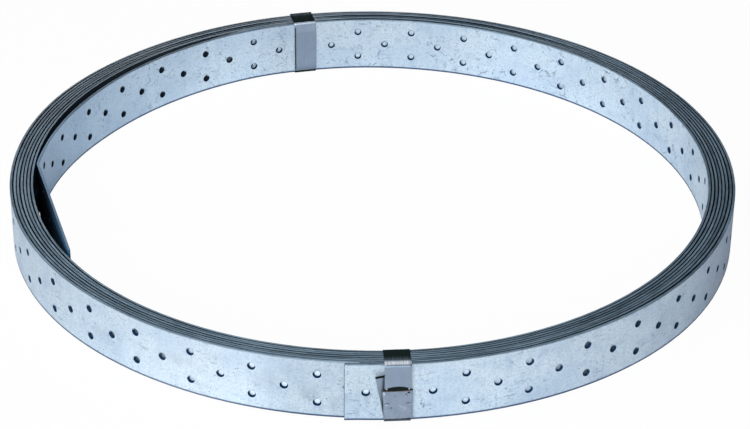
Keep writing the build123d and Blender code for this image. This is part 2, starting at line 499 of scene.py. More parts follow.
# paint: values of sockets that add their own Math nodes
class Value:
    def __init__(self, paint, socket):
        self.paint = paint
        self.socket = socket

    def maths(self, operation, first, second):
        return self.paint.make("ShaderNodeMath", {"operation": operation}, {0: first, 1: second})

    def __add__(self, other):
        return self.maths("ADD", self, other)

    def __sub__(self, other):
        return self.maths("SUBTRACT", self, other)

    def __rsub__(self, other):
        return self.maths("SUBTRACT", other, self)

    def __mul__(self, other):
        return self.maths("MULTIPLY", self, other)

    def __lt__(self, other):
        return self.maths("LESS_THAN", self, other)

    def __gt__(self, other):
        return self.maths("GREATER_THAN", self, other)

    __radd__ = __add__
    __rmul__ = __mul__


class Paint:
    def __init__(self, name, home=bpy.data.materials):
        forWorld = home == bpy.data.worlds
        self.glow = "ShaderNodeBackground" if forWorld else "ShaderNodeEmission"
        self.material = home.new(name)
        self.material.use_nodes = True
        self.tree = self.material.node_tree
        self.tree.nodes.clear()
        self.output = self.tree.nodes.new("ShaderNodeOutputWorld" if forWorld else "ShaderNodeOutputMaterial")

    def make(self, kind, settings=None, sockets=None, output=0):
        # any node: its settings first, then the values or links of its sockets
        node = self.tree.nodes.new(kind)
        for key, setting in (settings or {}).items():
            if key == "stops":
                self.setStops(node.color_ramp, setting)
            else:
                setattr(node, key, setting)
        for key, value in (sockets or {}).items():
            if isinstance(value, Value):
                self.tree.links.new(value.socket, node.inputs[key])
            else:
                node.inputs[key].default_value = value
        return Value(self, node.outputs[output])

    def setStops(self, ramp, stops):
        while len(ramp.elements) < len(stops):
            ramp.elements.new(1)
        for element, (position, colour) in zip(ramp.elements, stops):
            element.position = position
            element.color = colour

    def ramp(self, value, low, high):
        # 0 below low, 1 above high, smooth between
        settings = {"interpolation_type": "SMOOTHSTEP"}
        return self.make("ShaderNodeMapRange", settings, {"Value": value, "From Min": low, "From Max": high})

    def mix(self, share, first, second):
        settings = {"data_type": "RGBA"}
        return self.make("ShaderNodeMix", settings, {"Factor": share, 6: first, 7: second}, 2)

    def flatMap(self):
        return self.make("ShaderNodeUVMap", {"uv_map": "flat"})

    def marked(self, name):
        # an attribute of the piece's own
        return self.make("ShaderNodeAttribute", {"attribute_name": name}, None, "Fac")

    def axis(self, vector, letter):
        return self.make("ShaderNodeSeparateXYZ", None, {0: vector}, letter)

    def span(self, value, rise, fall):
        # 1 from the end of the rise to the start of the fall
        return self.ramp(value, *rise) * (1 - self.ramp(value, *fall))

    def grain(self, vector, look):
        # noise as its look says, stretched if it names a stretch
        if "stretch" in look:
            sockets = {"Vector": vector, "Rotation": (0, 0, look.get("turn", 0)), "Scale": look["stretch"]}
            vector = self.make("ShaderNodeMapping", None, sockets)
        sockets = {"Vector": vector, "Scale": look.get("scale", 1), "Detail": look.get("detail", 4.0)}
        sockets.update({"Roughness": look.get("roughness", 0.5), "Distortion": look.get("distortion", 0.0)})
        return self.make("ShaderNodeTexNoise", None, sockets)

    def layer(self, vector, look, extra=None):
        grain = self.grain(vector, look)
        return self.ramp(grain if extra is None else grain + extra, *look["range"])

    def cells(self, vector, look, feature="F1"):
        sockets = {"Vector": vector, "Scale": look["scale"]}
        away = self.make("ShaderNodeTexVoronoi", {"feature": feature}, sockets, "Distance")
        return 1 - self.ramp(away, *look["range"])

    def bumped(self, height, strength, distance):
        sockets = {"Strength": strength, "Distance": distance, "Height": height}
        return self.make("ShaderNodeBump", None, sockets, "Normal")

    def larger(self, first, second):
        return self.make("ShaderNodeMath", {"operation": "MAXIMUM"}, {0: first, 1: second})

    def mark(self, vector, at, size, turn=0.0, soft=0.6):
        # 1 inside an oval on the flat, fading to 0 at its rim
        sockets = {"Vector": vector, "Location": (*at, 0), "Rotation": (0, 0, turn), "Scale": (*size, 1)}
        oval = self.make("ShaderNodeMapping", {"vector_type": "TEXTURE"}, sockets)
        away = self.make("ShaderNodeVectorMath", {"operation": "LENGTH"}, {0: oval}, "Value")
        return 1 - self.ramp(away, 1 - soft, 1)

    def finish(self, share, shadow, **sockets):
        # the steel itself, and by a share a matt colour: painted deep shade, and rust on the seal's cut edges
        steel = self.make("ShaderNodeBsdfPrincipled", None, sockets)
        dull = {"Base Color": shadow, "Roughness": 1.0, "Specular IOR Level": 0.0}
        matt = self.make("ShaderNodeBsdfPrincipled", None, dull)
        shader = self.make("ShaderNodeMixShader", None, {0: share, 1: steel, 2: matt})
        self.tree.links.new(shader.socket, self.output.inputs["Surface"])
        return self.material


# zinc on the strap
zinc = {
    "pale": (0.63, 0.752, 0.848, 1),
    # white is the colour of the painted pool of light
    "white": (0.86, 0.87, 0.86, 1),
    "dull": (0.375, 0.50, 0.655, 1),
    # stains of dirt, and the painted shade along the upper edge
    "stainAndShade": (0.10, 0.15, 0.22, 1),
    # painted shade along the lower edge, and under the sheared edges
    "lowEdge": (0.008, 0.045, 0.135, 1),
    "cutDark": (0.055, 0.10, 0.14, 1),
    "cutPale": (0.24, 0.35, 0.45, 1),
    "holeLow": (0.006, 0.022, 0.055, 1),
    "holeHigh": (0.30, 0.40, 0.51, 1),
    "untouched": (0.60, 0.72, 0.85, 1),  # between the turns, seen through the holes
    # near-black of the painted shade in the slack between the turns
    "covered": (0.004, 0.008, 0.014, 1),
    "turnedAway": (0.30, 0.42, 0.64, 1),  # painted shade of the outer turn, on its right side
    "smudge": (0.33, 0.42, 0.51, 1),
    "farInside": (0.36, 0.55, 0.78, 1),  # of the sprung end, away from the light
    # painted shade on the sheared edges of the sprung end
    "farEdge": (0.07, 0.19, 0.34, 1),
    # painted shade on the outside of the sprung end, bluer towards its tip
    "tail": (0.03, 0.09, 0.17, 1),
    "metallic": 0.6,
    "roughness": 0.42,
    # dull over pale: cloudy patches, faint streaks across and along the strap, and a fine mottle
    "layers": {
        "broad": {"scale": 26, "roughness": 0.6, "range": (0.4, 0.68), "share": 0.45},
        "patches": {
            "scale": 105, "detail": 5, "roughness": 0.68, "distortion": 0.2, "range": (0.5, 0.74),
            "share": 0.65},
        "upright": {"stretch": (190, 16, 1), "roughness": 0.6, "range": (0.48, 0.78), "share": 0.4},
        "drawn": {"stretch": (22, 700, 1), "detail": 3, "roughness": 0.6, "range": (0.4, 0.8), "share": 0.1},
        "mottle": {"scale": 640, "detail": 3, "roughness": 0.75, "range": (0.42, 0.68), "share": 0.75},
    },
    # dirt, gathered where it is dirty
    "dirty": {"scale": 34, "detail": 3, "roughness": 0.6, "range": (0.38, 0.6)},
    "grime": {
        "scale": 420, "roughness": 0.75, "distortion": 0.4, "range": (0.59, 0.72), "share": 0.65,
        "everywhere": 0.25, "fromSpots": 0.12},
    "bend": {"scale": 130, "reach": 0.006},  # by which lines wander
    "veins": {"scale": 120, "range": (0.01, 0.06), "share": 0.22, "moreInside": 0.4},
    "broken": {"scale": 190, "detail": 3, "roughness": 0.6, "range": (0.5, 0.57)},
    "scratches": {"stretch": (75, 560, 1), "turn": 0.9, "detail": 2, "range": (0.64, 0.71), "share": 0.55},
    "dots": {"scale": 300, "range": (0.06, 0.2), "share": 0.85},
    "crowded": {"scale": 75, "detail": 2, "range": (0.54, 0.62), "fromSpots": 0.3},
    # places along the strap where shade is painted: from its outer end, from where the outer turn
    # ends, or from where the last turn springs off; where each one rises and where it falls
    "places": {
        "turnedAway": ("outerEnd", (0.19, 0.36), (0.42, 0.6)),
        "right": ("outerEnd", (0.2, 0.3), (0.42, 0.6)),
        "left": ("outerTurnEnd", (-0.5, -0.35), (-0.22, -0.1)),
        "farWall": ("springsAt", (-0.18, -0.11), (0.0, 0.04)),
    },
    "turnedAwayShare": 0.6,
    "farInsideShare": 0.6,
    "farInsideFrom": 0.03,  # past where it springs off
    # painted shade either side of the outer end, and how much darker all of these are
    "beforeEnd": {"rise": (-0.06, -0.03), "stop": 0.05},
    "afterEnd": {"fall": (0.02, 0.06), "share": 0.5},
    "dimmer": {"ends": 0.17, "right": 0.14, "left": 0.1},
    "lit": {"before": 0.1, "reach": (0.09, 0.05), "share": 0.12},  # a painted pool of light before the outer turn's end
    # painted shade: lines along both edges of the outside, inwards from the edge
    "lowLine": {"range": (0.0018, 0.0010), "share": 0.92},
    "topLine": {"range": (0.0011, 0.0005), "share": 0.25, "more": 0.5},
    # sheared edges: each turn's tone, streaks, and where in the coil they get painted shade
    "tones": {"stretch": (9, 0, 1), "detail": 3, "roughness": 0.6, "range": (0.36, 0.66), "share": 0.65},
    "streaks": {
        "stretch": (110, 2500, 1), "detail": 3, "roughness": 0.6, "range": (0.4, 0.7), "share": 0.25},
    "farEdgeShare": 0.5,
    "shadedEdges": {"at": 135, "range": (0.165, 0.215), "share": 0.5},  # painted shade there: degrees, and metres that way
    "underside": (0.1, 0.5),  # how far an edge faces down, for painted shade under it
    "holeFacing": (-0.5, 0.0),  # from facing down to upright, over which a hole's wall turns to painted shade
    # share of matt painted shade in the holes
    "holeMatt": 0.9,
    "tailFrom": 0.03,  # past the kink
    "behindFade": 0.04,  # past where it springs off
    "smudgeShares": {"all": 0.4, "upright": 0.5},
    "nickShare": 0.85,
    "rougher": {"broad": 0.08, "grime": 0.15},
    "relief": {"mottle": 0.5, "drawn": 0.3, "veins": 0.6, "strength": 0.18, "distance": 0.0002},
    "coveredMetal": 0.3,  # less metallic where untouched zinc shows through the holes
    # soiled spots on the flat strap: along and across, how far they reach, and how strong
    "soiled": [
        ((0.0035, 0.014), (0.007, 0.004), 0.6),
        ((0.003, 0.003), (0.005, 0.009), 0.7),
        ((0.010, -0.007), (0.012, 0.008), 0.12),
        ((0.046, -0.010), (0.008, 0.006), 0.6),
    ],
    # dulled patches before the outer end comes round
    "dulled": [
        ((-0.021, -0.003), (0.013, 0.009), 0.9),
        ((-0.006, -0.011), (0.006, 0.008), 0.8),
        ((0.014, 0.0), (0.024, 0.024), 0.5),
        ((-0.049, 0.001), (0.014, 0.012), 0.65),
        ((-0.012, 0.012), (0.009, 0.006), 0.4),
        ((-0.105, 0.002), (0.020, 0.006), 0.6),
        ((-0.080, 0.010), (0.005, 0.006), 0.6),
        ((-0.088, -0.012), (0.016, 0.004), 0.5),
        ((-0.165, -0.004), (0.012, 0.010), 0.6),
    ],
    # single nicks either side of the outer end: the way round from it, across, reach and turn
    "nicks": [
        ((-0.0008, 0.0022), (0.0007, 0.0016), 0.0),
        ((-0.0030, 0.0068), (0.0006, 0.0005), 0.0),
        ((-0.0037, 0.0042), (0.0006, 0.0006), 0.3),
        ((-0.0036, -0.0125), (0.0005, 0.0005), 0.0),
        ((0.0020, 0.0062), (0.0005, 0.0005), 0.0),
        ((0.0024, 0.0150), (0.0011, 0.0003), 0.4),
        ((0.0038, 0.0016), (0.0004, 0.0009), 0.5),
        ((0.0452, -0.0092), (0.0010, 0.0003), -0.9),
        ((0.0475, -0.0102), (0.0016, 0.0003), 0.1),
        ((0.0510, -0.0132), (0.0008, 0.0006), 0.0),
        ((0.0485, 0.0075), (0.0005, 0.0004), 0.0),
    ],
}


def bent(paint, vector):
    # a vector pushed about by noise, so that lines wander
    bend = zinc["bend"]
    sockets = {"Vector": vector, "Scale": bend["scale"], "Detail": 3}
    push = paint.make("ShaderNodeTexNoise", None, sockets, "Color")
    push = paint.make("ShaderNodeVectorMath", {"operation": "SCALE"}, {0: push, "Scale": bend["reach"]})
    return paint.make("ShaderNodeVectorMath", {"operation": "ADD"}, {0: vector, 1: push})


def dirtOver(paint, flat, length, colour):
    # grime, veins, hair scratches and dots, gathered in places and round the soiled spots
    dirty = paint.layer(flat, zinc["dirty"])
    spots = [paint.mark(flat, at, size, 0, 1) * strength for at, size, strength in zinc["soiled"]]
    soiled = spots[0]
    for spot in spots[1:]:
        soiled = paint.larger(soiled, spot)
    wavy = bent(paint, flat)
    look, crowded = zinc["grime"], zinc["crowded"]
    grime = paint.layer(flat, look, soiled * look["fromSpots"]) * (look["everywhere"] + dirty + soiled)
    veins = paint.cells(wavy, zinc["veins"], "DISTANCE_TO_EDGE") * paint.layer(flat, zinc["broken"]) * dirty
    scratches = paint.layer(wavy, zinc["scratches"]) * dirty
    dots = paint.cells(flat, zinc["dots"]) * paint.layer(flat, crowded, soiled * crowded["fromSpots"])
    veined = zinc["veins"]["share"] + zinc["veins"]["moreInside"] * (length > outerTurnEnd)
    colour = paint.mix(grime * look["share"], colour, zinc["stainAndShade"])
    colour = paint.mix(veins * veined, colour, zinc["stainAndShade"])
    colour = paint.mix(scratches * zinc["scratches"]["share"], colour, zinc["stainAndShade"])
    return paint.mix(dots * zinc["dots"]["share"], colour, zinc["stainAndShade"]), grime, veins


def onOuterTurn(place):
    # a length along the strap from its outer end, or if below 0 back from where the outer turn ends
    return place if place > 0 else outerTurnEnd + place


def marksOver(paint, flat, layers, colour):
    shares = zinc["smudgeShares"]
    for (place, across), size, strength in zinc["dulled"]:
        spot = paint.mark(flat, (onOuterTurn(place), across), size, 0, 1) * strength
        cloudy = shares["all"] + layers["patches"] + layers["upright"] * shares["upright"]
        colour = paint.mix(spot * cloudy, colour, zinc["smudge"])
    for (place, across), size, turn in zinc["nicks"]:
        nick = paint.mark(flat, (onOuterTurn(place), across), size, turn)
        colour = paint.mix(nick * zinc["nickShare"], colour, zinc["stainAndShade"])
    return colour


def placeOn(paint, length, name):
    start, rise, fall = zinc["places"][name]
    past = {"outerEnd": 0.0, "outerTurnEnd": outerTurnEnd, "springsAt": springsAt}[start]
    return paint.span(length, [past + x for x in rise], [past + x for x in fall])


def edgeLines(paint, flat, broad, colour):
    # painted shade: a dark blue line along the lower edge, a broken one along the upper
    half, across = strap["width"] / 2, paint.axis(flat, "Y")
    look = zinc["lowLine"]
    line = paint.ramp(0 - across, *(half - x for x in look["range"]))
    colour = paint.mix(line * look["share"], colour, zinc["lowEdge"])
    look = zinc["topLine"]
    line = paint.ramp(across, *(half - x for x in look["range"]))
    return paint.mix(line * (look["share"] + broad * look["more"]), colour, zinc["stainAndShade"])


def lightOver(paint, flat, length, colour):
    # a little painted shade by both ends of the outer turn, at its sides and on the far wall, and a painted
    # pool of light
    before, after, dimmer, lit = (zinc[key] for key in ("beforeEnd", "afterEnd", "dimmer", "lit"))
    ends = paint.ramp(length, *(outerTurnEnd + x for x in before["rise"]))
    ends = ends * (length < outerTurnEnd + before["stop"])
    ends = paint.larger(ends, after["share"] - paint.ramp(length, *after["fall"]) * after["share"])
    ends = paint.larger(ends, placeOn(paint, length, "farWall"))
    right, left = placeOn(paint, length, "right"), placeOn(paint, length, "left")
    dark = ends * dimmer["ends"] + right * dimmer["right"] + left * dimmer["left"]
    colour = paint.mix(dark, colour, zinc["covered"])
    patch = paint.mark(flat, (outerTurnEnd - lit["before"], 0.0), lit["reach"], 0, 1)
    return paint.mix(patch * lit["share"], colour, zinc["white"])


def shearedEdges(paint, flat, facing, sprung):
    # each turn of its own tone, with painted shade where they lie away from the light and where they face
    # down
    tones, streaks = paint.layer(flat, zinc["tones"]), paint.layer(flat, zinc["streaks"])
    shares = tones * zinc["tones"]["share"] + streaks * zinc["streaks"]["share"]
    sheared = paint.mix(shares, zinc["cutDark"], zinc["cutPale"])
    sheared = paint.mix(sprung * zinc["farEdgeShare"], sheared, zinc["farEdge"])
    position = paint.make("ShaderNodeTexCoord", None, None, "Object")
    dull = zinc["shadedEdges"]
    way = direction(dull["at"])
    reach = paint.axis(position, "X") * way.x + paint.axis(position, "Y") * way.y
    sheared = paint.mix(paint.ramp(reach, *dull["range"]) * dull["share"], sheared, zinc["covered"])
    return paint.mix(paint.ramp(0 - facing, *zinc["underside"]), sheared, zinc["lowEdge"])


def zincPaint():
    paint = Paint("galvanizedZinc")
    flat, cut, covered = paint.flatMap(), paint.marked("cut"), paint.marked("covered")
    length = paint.axis(flat, "X")
    facing = paint.axis(paint.make("ShaderNodeNewGeometry", None, None, "Normal"), "Z")
    grains = {name: paint.grain(flat, look) for name, look in zinc["layers"].items()}
    layers = {name: paint.ramp(grains[name], *look["range"]) for name, look in zinc["layers"].items()}
    colour = zinc["pale"]
    for name, look in zinc["layers"].items():
        colour = paint.mix(layers[name] * look["share"], colour, zinc["dull"])
    colour, grime, veins = dirtOver(paint, flat, length, colour)
    colour = marksOver(paint, flat, layers, colour)
    # painted shade on the outer turn's right side, and inside the sprung end away from the light
    turnedAway = placeOn(paint, length, "turnedAway") * zinc["turnedAwayShare"]
    colour = paint.mix(turnedAway, colour, zinc["turnedAway"])
    sprung = paint.ramp(length, springsAt + zinc["farInsideFrom"], kinkStart)
    colour = paint.mix(sprung * zinc["farInsideShare"], colour, zinc["farInside"])
    colour = edgeLines(paint, flat, layers["broad"], colour)
    colour = lightOver(paint, flat, length, colour)
    colour = paint.mix(0 - covered, colour, zinc["untouched"])
    # punched holes: painted shade all round, and painted light from below on the upper part of the wall,
    # which faces down
    shaded = paint.ramp(facing, *zinc["holeFacing"])
    onCut, onEdge = cover["cutHole"] / 2, (cover["cutHole"] + cover["cutEdge"]) / 2
    colour = paint.mix(cut > onCut, colour, paint.mix(shaded, zinc["holeHigh"], zinc["holeLow"]))
    colour = paint.mix(cut > onEdge, colour, shearedEdges(paint, flat, facing, sprung))
    inHole = (cut > onCut) * (cut < onEdge) * shaded
    # the matt painted shade: the slack between the turns, the inside of the sprung end, and the holes
    tailAt = paint.ramp(length, kinkEnd + zinc["tailFrom"], strapLength)
    tail = paint.mix(tailAt, zinc["covered"], zinc["tail"])
    behind = paint.ramp(length, springsAt, springsAt + zinc["behindFade"])
    rougher, relief = zinc["rougher"], zinc["relief"]
    rough = zinc["roughness"] + layers["broad"] * rougher["broad"] + grime * rougher["grime"]
    height = grains["mottle"] * relief["mottle"] + layers["drawn"] * relief["drawn"]
    height = height - veins * relief["veins"]
    metal = zinc["metallic"] + covered * zinc["coveredMetal"] * (covered < 0)
    return paint.finish(
        paint.larger(covered, inHole * zinc["holeMatt"]),
        paint.mix(inHole * (1 - behind), tail, zinc["holeLow"]),
        **{"Base Color": colour, "Metallic": metal, "Roughness": rough,
           "Normal": paint.bumped(height, relief["strength"], relief["distance"])})


flat = flatStrap()
taperHoles(flat)
markFaces(flat)
print("strap flat, with", len(flat.faces), "faces")
wind(flat)
addPiece("perforated_strap", flat, "strap_coil", zincPaint())


# the two bands and their seals, bent from flat strip
tie = {
    "width": 0.016,
    "thickness": 0.00055,
    "edgeBevel": 0.00012,
    "columns": 14,
    "beside": 0.0002,  # between the lower end and the outer turn
    "clear": 0.0001,  # round the pack of turns
    "bend": 0.0006,
    "topBend": 0.0010,
    "overFace": 0.0016,  # of the upper end, from the outer turn
    "underEnd": 0.0348,  # length of the lower end above the strap's lower edge
    "overEnd": 0.0034,
    "leanHeight": 0.001,
    "leanOver": 0.0015,  # length over which the lower end turns to its lean
    "tipCurl": 0.0006,
    "curled": (0.55, 1.0),  # shares of the lower end, over which it curls
    "curlSkew": 0.8,  # more at its left side
    "flickReach": 1.3,
    "tipFlick": 0.0008,  # by which the sheared end is turned outwards, over the same length
    "pressed": 0.00031,  # by which the upper end is pressed in where the seal holds it
    "pressedOver": (0.0002, 0.0010),  # above the seal
    "crown": 0.0017,  # more of its height in the middle than at the sides
    "sag": 0.0002,  # of its run over the top, at either side
    "settles": 0.004,  # height over which the inner leg comes to its stand-off
    "rowSpacing": 0.0004,
    "bendRows": 10,
}

# a band's painted light along its way round: above 0 painted shade, below 0 painted sheen
tone = {
    "tip": {"sheared": (0.0015, 0.0019), "all": 0.08, "beside": 0.5, "reach": 0.0026, "uncurled": 0.2},
    # painted shade along the run under the coil
    "under": 0.5,
    "inside": {
        "all": -0.06, "belowCrease": 0.2, "creaseHalf": 0.0004,
        "low": 0.15, "lowReach": (0.001, 0.008), "foot": 0.6, "footReach": (0.0004, 0.0012)},
    # a painted highlight on the bend at the top of the inside
    "insideBend": -0.35,
    "top": {"all": 0.98, "faintSheen": 0.42, "faintSheenOver": (0.15, 0.7), "brightSheen": 1.5, "brightSheenOver": (0.68, 0.86)},
    "topWithoutSheen": 0.22,  # less painted shade, where the band has no painted sheen
    # the outer bend: a painted sheen where it starts, then painted shade that dims its highlight
    "bend": {
        "brightSheen": 0.92, "brightSheenUntil": 0.25, "dark": 0.44, "darkOver": (0.15, 0.45), "low": 0.38, "lowFrom": 0.65,
        "withoutSheen": 0.98},
    "mouth": (0.0007, 0.0014),  # height above the seal over which the painted shade ends
}

clasp = {
    "low": 0.0027,
    "high": 0.0229,
    "tilt": 0.022,  # radians, its right side up
    "notch": 0.0128,  # height of the crimp
    "thickness": 0.0005,
    "edgeBevel": 0.0001,
    "straight": 0.0166,  # flat width between its two folds
    "play": 0.00003,
    "seam": 0.0008,  # open, at its back
    "flare": 0.00042,  # of its mouth
    "mouth": 0.005,  # height over which it flares
    "taper": 0.045,
    "taperEnds": 0.002,  # below its top
    "crimpHalf": 0.0007,  # height
    "crimpNarrower": 0.012,
    "crimpDepth": 0.00016,
    "crimpAcross": (0.45, 0.85),  # shares of its half width
    "pinch": 0.00018,  # of both sides, up to the crimp
    "pinchEnds": 0.003,  # above it
    "rows": 40,
    "dimple": (-0.0063, 0.0216, 0.0005, 0.0002),  # across, height, radius, depth
}

# how much painted sheen each band has
ties = {
    "front": {"mount": "floor_face_front", "lean": 10.0, "standOff": 0.0, "crease": 0.0, "paintedSheen": 1.0},
    "rear": {"mount": "floor_face_rear", "lean": 0.0, "standOff": 0.0006, "crease": 0.0328, "paintedSheen": 0.1},
}


def strollOn(start, heading, steps):
    # a path walked in a plane, as runs of (turn in degrees, radius) or (0, length)
    path, travelled = [], 0.0
    for turn, size in steps:
        length = size * math.radians(abs(turn)) if turn else size
        path.append({"from": start, "heading": heading, "turn": turn, "size": size, "begins": travelled})
        if turn:
            side = math.copysign(90, turn)
            centre = start + direction(heading + side) * size
            heading += turn
            start = centre - direction(heading + side) * size
        else:
            start = start + direction(heading) * size
        travelled += length
    path.append({"from": start, "heading": heading, "turn": 0, "size": 0.0, "begins": travelled})
    return path


def onPath(path, along):
    # the point, and the way to its left, at a length along the path
    step = next((p for p in reversed(path) if p["begins"] <= along), path[0])
    gone = along - step["begins"]
    if not step["turn"]:
        return step["from"] + direction(step["heading"]) * gone, direction(step["heading"] + 90)
    side = math.copysign(90, step["turn"])
    turned = math.copysign(math.degrees(gone / step["size"]), step["turn"])
    centre = step["from"] + direction(step["heading"] + side) * step["size"]
    heading = step["heading"] + turned
    return centre - direction(heading + side) * step["size"], direction(heading + 90)


def stationsOf(path, spacing, bendCuts):
    # where the flat strip gets a row of vertices: evenly on straight runs, closer round bends
    stations = []
    for step, after in zip(path, path[1:]):
        length = after["begins"] - step["begins"]
        cuts = bendCuts if step["turn"] else max(1, math.ceil(length / spacing))
        stations += [step["begins"] + length * i / cuts for i in range(cuts)]
    return stations + [path[-1]["begins"]]


def flatStrip(stations, width, rows, thickness, edgeBevel):
    # its near wall at Z 0 and its far wall above it
    bm = bmesh.new()
    last = len(stations) - 1
    bmesh.ops.create_grid(bm, x_segments=last, y_segments=rows, size=0.5)
    for vert in bm.verts:
        vert.co = (stations[round((vert.co.x + 0.5) * last)], vert.co.y * width, 0)
    bmesh.ops.solidify(bm, geom=bm.faces[:], thickness=thickness)
    lowest = min(v.co.z for v in bm.verts)
    bmesh.ops.translate(bm, verts=bm.verts, vec=(0, 0, -lowest))
    creased = tolerance["sharpRadians"]
    sharp = [e for e in bm.edges if len(e.link_faces) == 2 and e.calc_face_angle(0) > creased]
    sharp = [e for e in sharp if abs(e.verts[0].co.z - e.verts[1].co.z) < tolerance["same"]]
    bmesh.ops.bevel(
        bm, geom=sharp, offset=edgeBevel, affect="EDGES", segments=2, profile=0.5, material=-1,
        clamp_overlap=True)
    layer = bm.loops.layers.uv.new("flat")
    cut = bm.faces.layers.float.new("cut")
    bm.normal_update()
    for face in bm.faces:
        face[cut] = 1.0 if abs(face.normal.z) < 0.9 else 0.0
        for loop in face.loops:
            loop[layer].uv = (loop.vert.co.x, loop.vert.co.y)
    return bm


def wallReach(degrees, inset):
    # how far from the coil's axis a wall lies in that direction
    way = direction(degrees)
    arc = arcAt(turnArcs, degrees)
    along = arc["centre"].dot(way)
    across = arc["centre"].length ** 2 - along**2
    return along + math.sqrt((arc["radius"] - inset) ** 2 - across)


def standing(side):
    # where a band stands: its direction, the outer wall there, and the depth of the turns
    angle = angleOf(floorMounts[ties[side]["mount"]])
    first = angle if angle >= winding["outerEnd"] else angle + 360
    levels = math.floor((winding["leave"] - first) / 360)
    outer = wallReach(first, 0)
    return angle, outer, outer - wallReach(first + 360 * levels, strap["thickness"])


def intoPlace(bm, angle, outer):
    # local X runs to the left seen from outside, Y outwards from the outer turn, Z up
    turn = Matrix.Rotation(math.radians(angle - 90), 4, "Z")
    way = direction(angle) * outer
    bmesh.ops.transform(bm, verts=bm.verts, matrix=Matrix.Translation((way.x, way.y, coilLow.z)) @ turn)
    bmesh.ops.recalc_face_normals(bm, faces=bm.faces)


def bandPath(depth):
    # in local Y and Z, from the lower end's tip round the turns to the upper end
    inner = -depth - tie["width"] ** 2 / (8 * (winding["outerRadius"] - depth)) - tie["clear"]
    low, top = -tie["clear"], strap["width"] + tie["clear"]
    bend, topBend = tie["bend"], tie["topBend"]
    steps = [
        (0, tie["underEnd"] - low - bend),
        (-90, bend),
        (0, tie["beside"] - inner - 2 * bend),
        (-90, bend),
        (0, top - low - 2 * bend),
        (-90, bend),
        (0, tie["overFace"] - inner - bend - topBend),
        (-90, topBend),
        (0, top - topBend - tie["overEnd"]),
    ]
    return strollOn(Vector((tie["beside"], tie["underEnd"])), -90, steps)


def leanOf(up, across, lean):
    # the lower end turned sideways in its own plane: how far up and across a point then is
    slope = math.radians(lean)
    radius = tie["leanOver"] / slope
    part = min(up, tie["leanOver"]) / tie["leanOver"] * slope
    beyond = max(up - tie["leanOver"], 0)
    middleUp = radius * math.sin(part) + beyond * math.cos(slope)
    middleAcross = radius * (1 - math.cos(part)) + beyond * math.sin(slope)
    return middleUp - across * math.sin(part), middleAcross + across * math.cos(part)


def lowerEnd(along, across, leanFrom, lean):
    # curled and sheared at its tip, turned to its lean, with painted shade at the tip and a painted shadow
    # beside the upper end
    look = tone["tip"]
    tip = smooth(*tie["curled"], 1 - along / leanFrom)
    offset = tie["tipCurl"] * tip * (1 + tie["curlSkew"] * across / tie["width"])
    offset += tie["tipFlick"] * fade(0, tie["flickReach"] * tie["tipFlick"], along)
    dark = fade(*look["sheared"], along) + look["all"]
    if lean:
        up, across = leanOf(leanFrom - along, across, lean)
        along = leanFrom - up
    dark += look["beside"] * fade(0, look["reach"], across - tie["width"] / 2)
    return along, across, offset, dark + look["uncurled"] * (1 - tip)


def insideLeg(height, standOff, crease):
    # up the inside of the coil, where it may stand a little off the turns
    # a faint painted sheen above its crease, painted shade below it and towards its foot
    look = tone["inside"]
    level = min(max((strap["width"] - height) / (strap["width"] - crease), 0), 1)
    dark = look["belowCrease"] * fade(crease - look["creaseHalf"], crease + look["creaseHalf"], height)
    dark += look["all"]
    dark += look["low"] * fade(*look["lowReach"], height) + look["foot"] * fade(*look["footReach"], height)
    return standOff * (smooth(0, tie["settles"], height) * level), dark


def topRun(share, paintedSheen):
    # over the turns: it sags a little between them; painted shade, with a painted sheen towards its outer
    # bend
    look = tone["top"]
    faintSheen = look["faintSheen"] * smooth(*look["faintSheenOver"], share)
    dark = look["all"] - paintedSheen * (faintSheen + look["brightSheen"] * smooth(*look["brightSheenOver"], share))
    dark -= tone["topWithoutSheen"] * (1 - paintedSheen)
    return -tie["sag"] * math.sin(math.pi * share) ** 0.5, dark


def outerBend(share, paintedSheen):
    # a painted sheen where it starts, painted shade further round, all painted shade without sheen
    look = tone["bend"]
    dark = look["brightSheen"] * smooth(0, look["brightSheenUntil"], share) - look["brightSheen"]
    dark += look["dark"] * smooth(*look["darkOver"], share)
    dark -= look["low"] * smooth(look["lowFrom"], 1, share)
    return dark * paintedSheen + look["withoutSheen"] * (1 - paintedSheen)


def upperEnd(height, across):
    # arched over the seal, and pressed in where it goes into it, with painted shade above the seal's mouth
    crown = tie["crown"] * (1 - (2 * across / tie["width"]) ** 2)
    low, high = tie["pressedOver"]
    darkLow, darkHigh = tone["mouth"]
    return -tie["pressed"] * fade(low, high + crown, height), fade(darkLow + crown, darkHigh + crown, height)


